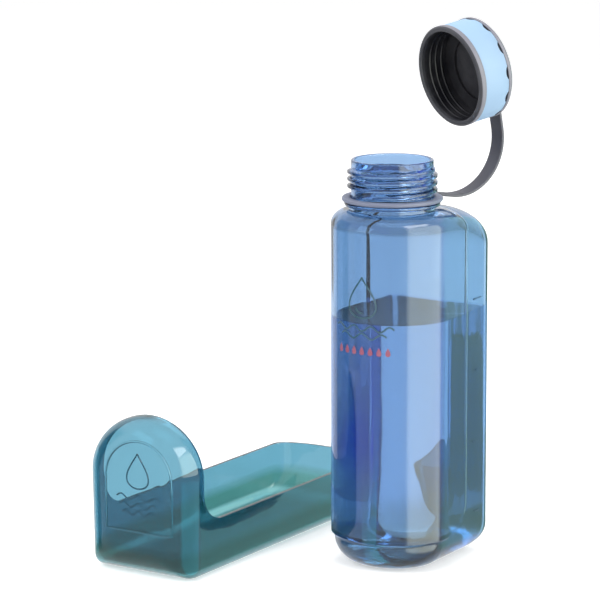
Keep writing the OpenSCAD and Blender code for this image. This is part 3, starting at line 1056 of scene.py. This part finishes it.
# Where the strap runs into its ring and its loop, and its points along each stretch
STRAP_TUCK = 1.5 * MM
RUN_STEPS = 12
BEND_STEPS = 60
REACH_STEPS = 20


class TetherPlan:
    """Places of the strap and the cap in the upright plane of the tether: (out, up)."""

    def __init__(self, sizes, cap):
        self.sizes = sizes
        self.ring_mid = (RING_LOW.z + RING_HIGH.z) / 2
        self.ring_radius = RING_HIGH.x
        droop = sizes.droop
        run = sizes.bend_out - sizes.bend * sin(droop) - self.ring_radius
        self.centre = Vector((sizes.bend_out, self.ring_mid - run * tan(droop) + sizes.bend * cos(droop)))
        tilt = sizes.cap_tilt
        self.up = Vector((-sin(tilt), cos(tilt)))
        self.bend_end = self.centre + sizes.bend * Vector((cos(tilt), sin(tilt)))
        self.loop_mid = self.bend_end + sizes.reach * self.up
        self.loop_z = cap.height + cap.dome + sizes.gap + LOOP_THICKNESS / 2
        self.turn = Matrix.Rotation(sizes.azimuth, 4, "Z")

    def cap_matrix(self):
        return (self.turn @ Matrix.Translation((self.loop_mid.x, 0, self.loop_mid.y))
                @ Matrix.Rotation(pi / 2 - self.sizes.cap_tilt, 4, "Y")
                @ Matrix.Translation((0, 0, -self.loop_z)))

    def path(self):
        """Middle line of the strap from the ring to the loop, as (point, along)."""
        sizes = self.sizes
        slope = Vector((cos(sizes.droop), -sin(sizes.droop)))
        start = Vector((self.ring_radius - STRAP_TUCK, self.ring_mid + STRAP_TUCK * tan(sizes.droop)))
        bend_start = self.centre + sizes.bend * Vector((-sin(sizes.droop), -cos(sizes.droop)))
        points = [(start.lerp(bend_start, i / RUN_STEPS), slope) for i in range(RUN_STEPS)]
        first, last = -90 - degrees(sizes.droop), degrees(sizes.cap_tilt)
        for i in range(BEND_STEPS + 1):
            turn = radians(lerp(first, last, i / BEND_STEPS))
            points.append((self.centre + sizes.bend * Vector((cos(turn), sin(turn))),
                           Vector((-sin(turn), cos(turn)))))
        end = self.loop_mid - (sizes.loop_radius - STRAP_TUCK) * self.up
        points += [(self.bend_end.lerp(end, i / REACH_STEPS), self.up) for i in range(1, REACH_STEPS + 1)]
        return points


class BOTTLE_OT_cap(Builder, bpy.types.Operator):
    """Turns the cap with its lip, ring and stud, its inside thread, seal and grip band"""

    bl_idname = "waterbottle.cap"
    bl_label = "Cap"

    def build(self, scene, colours):
        cap, tether = scene.cap_sizes, scene.tether_sizes
        plan = TetherPlan(tether, cap)
        stand = plan.cap_matrix()
        seat = cap.radius - cap.band - SEAT_GAP
        band_top = cap.height - cap.top_ring
        shell = lathe("cap_body", self.profile(cap, tether, plan, seat, band_top))
        round_edges(shell, *SHELL_BEVEL)
        # The ring grey is a painted highlight on the cap's outer faces; the dark inside is painted shade,
        # on the inside thread too
        materials = [moulded("cap_grey_plastic", colours.cap_grey, HARD_PLASTIC),
                     moulded("cap_ring_painted_highlight", colours.ring_highlight_grey, HARD_PLASTIC),
                     moulded("cap_inside_painted_shade", colours.cap_inside_shade, INSIDE_PLASTIC)]
        named(shell, "cap_body", *materials)
        self.paint(shell, cap)
        finish_piece(shell, CRISP, "cap", ["cap_shell"], stand)
        self.inside_thread(cap, scene.bottle_sizes.thread_pitch, stand, materials[2])
        self.grip_band(cap, seat, band_top, stand, colours.grip_blue)
        # Painted shade: the seal deep inside the cap is given near black
        seal = frame["nodes"]["cap_seal"].data
        seal.materials.clear()
        seal.materials.append(moulded("seal_painted_shade", colours.seal_dark, SEAL_RUBBER))

    def profile(self, cap, tether, plan, seat, band_top):
        """From the middle of the inside over the lip, the seat of the grip and the stud's button."""
        radius, bore, height = cap.radius, cap.bore, cap.height
        stud_z = height + cap.dome
        stud_top = plan.loop_z + LOOP_THICKNESS / 2 + tether.gap
        button = cap.stud + BUTTON_REACH
        button_top = stud_top + BUTTON_THICKNESS
        return [(0, cap.depth), (bore, cap.depth), (bore, SHADE_RING_UP), (bore, BORE_CHAMFER),
                (bore + BORE_CHAMFER, 0), (radius - LIP_CHAMFER, 0), (radius, LIP_CHAMFER),
                (radius, cap.lip), (seat, cap.lip), (seat, band_top), (radius, band_top),
                (radius, height - TOP_CHAMFER), (radius - TOP_CHAMFER, height),
                (tether.loop_radius + LOOP_SEAT, stud_z), (cap.stud, stud_z), (cap.stud, stud_top),
                (button, stud_top), (button, button_top), (0, button_top)]

    def paint(self, shell, cap):
        """Material slots by place: painted highlight on the outer rings, painted shade on the inside."""
        for face in shell.data.polygons:
            middle = face.center
            reach = hypot(middle.x, middle.y)
            if reach < cap.bore + PAINT_SLACK and SHADE_FROM < middle.z < cap.depth + PAINT_SLACK:
                face.material_index = 2
            elif reach > cap.radius - HIGHLIGHT_RIM:
                face.material_index = 1

    def inside_thread(self, cap, pitch, stand, material):
        """Three turns of thread that wind round the bore."""
        ridge = trace([(cap.bore + out, 0, RIDGE_LOW + up) for out, up in RIDGE_SECTION])
        apply_modifier(ridge, "SCREW", angle=2 * pi, screw_offset=pitch, iterations=RIDGE_TURNS,
                       steps=RIDGE_STEPS, render_steps=RIDGE_STEPS, use_merge_vertices=False,
                       use_normal_calculate=True)
        named(ridge, "cap_inside_thread", material)
        finish_piece(ridge, ROUND, "cap", stand=stand)

    def grip_band(self, cap, seat, top, stand, tint):
        """The soft band as a loft of its four edges, with scallops in its rear edge."""
        outer = seat + cap.band
        columns = self.band_columns(cap.scallops, outer)

        def edge(radius, height, cut):
            return [Vector((radius * cos(turn), radius * sin(turn), height + cut * rise))
                    for turn, rise in columns]

        band = loft("cap_grip", [edge(seat, cap.lip, 0), edge(outer, cap.lip, 0), edge(outer, top, 1),
                                 edge(seat, top, 1), edge(seat, cap.lip, 0)])
        weld(band, outwards=True)
        round_edges(band, *BAND_BEVEL)
        named(band, "cap_grip", moulded("grip_soft_blue", tint, GRIP_RUBBER))
        finish_piece(band, CRISP, "cap", ["cap_grip_band"], stand)

    def band_columns(self, scallops, outer):
        """Round the band, as (angle, rise of the rear edge, below zero in a scallop)."""
        across = [SCALLOP_RADIUS * sin(turn) for turn in SCALLOP_TURNS]
        rise = [SCALLOP_UP - SCALLOP_RADIUS * cos(turn) for turn in SCALLOP_TURNS]
        share = rise[-2] / (rise[-2] - rise[-1])
        across[-1], rise[-1] = lerp(across[-2], across[-1], share), 0
        half = [(asin(y / outer), z) for y, z in zip(across, rise)]
        side = half[-1][0]
        pitch = 2 * pi / scallops
        one = [(-turn, z) for turn, z in half[:0:-1]] + half
        one += [(lerp(side, pitch - side, k / BETWEEN_STEPS), 0) for k in range(1, BETWEEN_STEPS)]
        return [(pitch * i + turn, z) for i in range(scallops) for turn, z in one]


# ---- Tether ----

STRAP_ROUND = 0.6 * MM
STRAP_ROUND_STEPS = 4
STRAP_LIMIT = 60

# The strap's pieces as name, joint and the nodes they replace
STRAP_PIECES = (("strap_root", "strap_root_flex", ["tether_strap_lower"]),
                ("strap_bend", "strap_mid_flex", ["tether_strap_lower", "tether_strap_upper"]),
                ("strap_top", "strap_top_flex", ["tether_strap_upper"]))


class BOTTLE_OT_tether(Builder, bpy.types.Operator):
    """Sweeps the flexible strap from its ring round the neck to its loop on the cap"""

    bl_idname = "waterbottle.tether"
    bl_label = "Tether"

    def build(self, scene, colours):
        sizes, cap = scene.tether_sizes, scene.cap_sizes
        plan = TetherPlan(sizes, cap)
        rubber = moulded("strap_grey_rubber", colours.strap_grey, STRAP_RUBBER)
        bore = scene.bottle_sizes.neck_radius + sizes.gap
        # The ring's lighter grey is partly a painted highlight for the light from above
        ring = turned_ring("neck_ring", bore, plan.ring_radius, RING_LOW.z, RING_HIGH.z)
        round_edges(ring, *RING_BEVEL)
        named(ring, "neck_ring", moulded("neck_ring_grey_and_highlight", colours.neck_ring_grey_and_highlight, RING_RUBBER))
        finish_piece(ring, ROUND, "neck_ring", ["tether_neck_ring"])
        loop = turned_ring("cap_loop", cap.stud + sizes.gap, sizes.loop_radius,
                           plan.loop_z - LOOP_THICKNESS / 2, plan.loop_z + LOOP_THICKNESS / 2)
        round_edges(loop, *LOOP_BEVEL)
        named(loop, "cap_loop", rubber)
        finish_piece(loop, ROUND, "cap_loop", ["tether_cap_loop"], plan.cap_matrix())
        self.strap(plan, rubber)

    def strap(self, plan, rubber):
        """The strap in three stretches, each round the pivot of one of its joints."""
        path = plan.path()
        joints = [JOINTS[joint] for _, joint, _ in STRAP_PIECES]
        pivots = [self.nearest(plan, path, joint["pos_m"]) for joint in joints]
        cuts = [0, (pivots[0] + pivots[1]) // 2, (pivots[1] + pivots[2]) // 2, len(path) - 1]
        for part, (name, _, nodes) in enumerate(STRAP_PIECES):
            stretch = path[cuts[part]:cuts[part + 1] + 1]
            piece = named(self.sweep(plan, stretch, name), name, rubber)
            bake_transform(piece)
            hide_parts(*nodes)

    def in_row(self, plan, point):
        """A point of the tether's plane at its place."""
        return plan.turn @ Vector((point.x, 0, point.y))

    def nearest(self, plan, path, pivot):
        """Number of the path's point that lies nearest to a pivot."""
        return min(range(len(path)), key=lambda i: (self.in_row(plan, path[i][0]) - Vector(pivot)).length)

    def sweep(self, plan, stretch, name):
        """A strap with rounded edges along a stretch of the path."""
        inner_w = plan.sizes.width / 2 - STRAP_ROUND
        inner_t = plan.sizes.thickness / 2 - STRAP_ROUND
        section = []
        for x, y, start in ((1, 1, 0), (-1, 1, 90), (-1, -1, 180), (1, -1, 270)):
            section += arc((x * inner_w, y * inner_t), STRAP_ROUND, start, start + 90,
                           STRAP_ROUND_STEPS)
        rings = []
        for point, along in stretch:
            side = Vector((along.y, -along.x))
            rings.append([plan.turn @ Vector((point.x + side.x * t, w, point.y + side.y * t))
                          for w, t in section])
        piece = loft(name, capped(rings))
        weld(piece, outwards=True)
        smooth(piece, STRAP_LIMIT)
        return piece


# ---- Stage ----

CAMERA_PLACE = Vector((889.2, -1465.4, 498.5)) * MM
CAMERA_HEADING = Vector((-0.5452888, 0.8382482, 0))
CAMERA_PITCH = 11.2456
CAMERA_ROLL = -0.0038
CAMERA_LENS = 179.82
CAMERA_SENSOR = 36
CAMERA_FAR = 50

# What the lamps and cards stand round
STAGE_MIDDLE = Vector((-0.03, 0.02, 0.13))
FLOOR_SIZE = 12
FLOOR_DOWN = 0.2 * MM
FLOOR_TINT = (0.9, 0.9, 0.9)
FLOOR_GLOW = 0.45
ROOM_DIFFUSE = 0.55
WHITE = (1, 1, 1, 1)
BLACK = (0, 0, 0, 1)

# Lamps as azimuth in degrees from the front, height over the middle, distance, size and power
LAMPS = {
    "key_lamp": (-35, 1.0, 1.4, 0.9, 15),
    "fill_lamp": (80, 0.6, 1.5, 0.9, 7.5),
    "rim_lamp": (190, 1.1, 1.4, 0.8, 9.5),
    "top_lamp": (20, 1.3, 0.15, 0.8, 6),
}

# Cards that face the middle, as azimuth and lift in degrees, distance, width, height, glow and the
# rays that meet them
CARDS = {
    "soft_box": (88, 0, 0.9, 1.7, 1.8, (5.0, 5.3, 4.6), "glossy"),
    "high_box": (78, 40, 0.9, 1.2, 0.7, (9, 9, 9), "glossy"),
    "window_box": (-30, 0, 1.2, 0.7, 1.8, (0.85, 0.9, 1.0), "glossy"),
    "left_room": (-75, 0, 1.3, 1.0, 1.8, (0.08, 0.11, 0.14), "glossy"),
    "right_room": (160, 0, 1.1, 1.3, 1.8, (0.7, 1.25, 1.2), "glossy"),
    "left_flag": (-51, 0, 0.55, 0.4, 0.5, (0.26, 0.50, 0.42), "transmission"),
}

# The card that the bowl's corner mirrors, and the one that lies on the floor to the right rear
BOWL_CARD_PLACE = Vector((0, -0.1, -0.06))
BOWL_CARD_TURN = (pi / 2, 0, pi / 2)
BOWL_CARD_LOOK = (0.16, 0.24, (0.9, 2.4, 2.8), "glossy")
SHADOW_AZIMUTH = 133
SHADOW_DISTANCE = 0.5
SHADOW_UP = 1 * MM
SHADOW_LOOK = (0.42, 0.8, (0.24, 0.30, 1.2), "transmission")

# In a card's own coordinates its edge lies at 0.5, and it turns from white to its glow up to 0.3
CARD_EDGE = 0.5
CARD_FADE_END = 0.3
RAY_KINDS = ("camera", "diffuse", "glossy", "transmission", "volume_scatter", "shadow")


def towards(azimuth, distance, up):
    """An offset at an azimuth in degrees, counted from the front towards the right."""
    turn = radians(azimuth)
    return Vector((sin(turn) * distance, -cos(turn) * distance, up))


def any_ray(tree, *kinds):
    """One for rays of the given kinds, else zero."""
    rays = add_node(tree, "LightPath").outputs
    seen = rays["Is %s Ray" % kinds[0]]
    for kind in kinds[1:]:
        seen = maths(tree, "MAXIMUM", seen, rays["Is %s Ray" % kind])
    return seen


class BOTTLE_OT_stage(Builder, bpy.types.Operator):
    """Sets the pale floor, the soft studio lamps, the cards and the camera"""

    bl_idname = "waterbottle.stage"
    bl_label = "Stage"

    def build(self, scene, colours):
        scene.view_settings.view_transform = "Standard"
        self.camera(scene)
        self.world(scene)
        self.floor()
        for name, (azimuth, height, distance, size, power) in LAMPS.items():
            self.lamp(name, STAGE_MIDDLE + towards(azimuth, distance, height), size, power)
        for name, (azimuth, lift, distance, *look) in CARDS.items():
            turn, lift = radians(azimuth), radians(lift)
            spot = STAGE_MIDDLE + towards(azimuth, distance, tan(lift) * distance)
            self.card(name, spot, (pi / 2 - lift, 0, turn), *look)
        self.card("bowl_card", BOWL_CARD_PLACE, BOWL_CARD_TURN, *BOWL_CARD_LOOK)
        spot = towards(SHADOW_AZIMUTH, SHADOW_DISTANCE, SHADOW_UP)
        self.card("blue_shadow", spot, (0, 0, radians(SHADOW_AZIMUTH)), *SHADOW_LOOK)

    def floor(self):
        """A matt floor that looks paler to the camera and keeps the shadow on it."""
        start_clean()
        bpy.ops.mesh.primitive_plane_add(size=FLOOR_SIZE, location=(0, 0, -FLOOR_DOWN))
        material, tree, shader = new_material("pale_floor")
        glow = maths(tree, "MULTIPLY", any_ray(tree, "Camera", "Transmission"), FLOOR_GLOW)
        feed(shader, {"Base Color": rgba(FLOOR_TINT), "Roughness": 0.9, "Emission Color": WHITE,
                      "Emission Strength": glow})
        floor = named(bpy.context.object, "floor", material)
        floor.visible_glossy = False

    def card(self, name, spot, rotation, width, height, glow, rays):
        """A card that only one kind of ray meets, and that fades to white at its edge."""
        start_clean()
        bpy.ops.mesh.primitive_plane_add(size=1, location=spot, rotation=rotation)
        card = bpy.context.object
        card.scale = (width, height, 1)
        material, tree, shader = new_material(name)
        axes = object_axes(tree)
        fades = []
        for axis in "XY":
            out = maths(tree, "ABSOLUTE", axes[axis])
            fades.append(mapped(tree, out, {"From Min": CARD_EDGE, "From Max": CARD_FADE_END},
                                interpolation_type="SMOOTHSTEP"))
        shade = mixed(tree, maths(tree, "MULTIPLY", *fades), WHITE, rgba(glow))
        feed(shader, {"Base Color": BLACK, "Specular IOR Level": 0, "Emission Strength": 1,
                      "Emission Color": shade})
        named(card, name, material)
        for kind in RAY_KINDS:
            setattr(card, "visible_" + kind, kind == rays)

    def camera(self, scene):
        """The camera by its heading, its pitch below the level and its slight roll."""
        heading, right = CAMERA_HEADING, Vector((CAMERA_HEADING.y, -CAMERA_HEADING.x, 0))
        pitch = radians(CAMERA_PITCH)
        forward = heading * cos(pitch) - Vector((0, 0, sin(pitch)))
        up = right.cross(forward)
        roll_right = right * cos(CAMERA_ROLL) + up * sin(CAMERA_ROLL)
        roll_up = up * cos(CAMERA_ROLL) - right * sin(CAMERA_ROLL)
        turn = Matrix((roll_right, roll_up, -forward)).transposed().to_4x4()
        bpy.ops.object.camera_add()
        camera = bpy.context.object
        camera.name = "camera"
        camera.matrix_world = Matrix.Translation(CAMERA_PLACE) @ turn
        camera.data.lens = CAMERA_LENS
        camera.data.sensor_width = CAMERA_SENSOR
        camera.data.clip_end = CAMERA_FAR
        scene.camera = camera

    def world(self, scene):
        """A white room that lights matt surfaces less than it shows."""
        world = bpy.data.worlds.new("soft_white_room")
        scene.world = world
        world.use_nodes = True
        tree = world.node_tree
        seen = any_ray(tree, "Camera", "Glossy", "Transmission")
        strength = mapped(tree, seen, {"To Min": ROOM_DIFFUSE, "To Max": 1})
        feed(tree.nodes["Background"], {"Color": WHITE, "Strength": strength})

    def lamp(self, name, spot, size, power):
        """A square soft lamp that faces the middle and that no surface mirrors."""
        bpy.ops.object.light_add(type="AREA", location=spot)
        lamp = bpy.context.object
        lamp.name = name
        lamp.rotation_euler = (STAGE_MIDDLE - spot).to_track_quat("-Z", "Y").to_euler()
        lamp.data.size = size
        lamp.data.energy = power
        lamp.visible_glossy = False


# ---- Panel and registration ----

BUILDERS = (BOTTLE_OT_stage, BOTTLE_OT_body, BOTTLE_OT_water, BOTTLE_OT_print, BOTTLE_OT_marks,
            BOTTLE_OT_bowl, BOTTLE_OT_cap, BOTTLE_OT_tether)
SIZE_GROUPS = {"bottle_sizes": BottleSizes, "bowl_sizes": BowlSizes, "cap_sizes": CapSizes,
               "tether_sizes": TetherSizes, "bottle_colours": FinishColours}


class BOTTLE_PT_panel(bpy.types.Panel):
    """Lists the builders of the bottle's pieces"""

    bl_idname = "BOTTLE_PT_panel"
    bl_label = "Water Bottle"
    bl_space_type = "VIEW_3D"
    bl_region_type = "UI"
    bl_category = "Water Bottle"

    def draw(self, context):
        for operator in BUILDERS:
            self.layout.operator(operator.bl_idname)


CLASSES = (*SIZE_GROUPS.values(), *BUILDERS, BOTTLE_PT_panel)


def register():
    for each in CLASSES:
        bpy.utils.register_class(each)
    for name, group in SIZE_GROUPS.items():
        setattr(bpy.types.Scene, name, PointerProperty(type=group))


def unregister():
    for name in SIZE_GROUPS:
        delattr(bpy.types.Scene, name)
    for each in reversed(CLASSES):
        bpy.utils.unregister_class(each)


def main():
    register()
    moulded_grain()
    wall_ripple()
    for builder in BUILDERS:
        getattr(bpy.ops.waterbottle, builder.bl_idname.split(".")[1])()


if __name__ == "__main__":
    main()
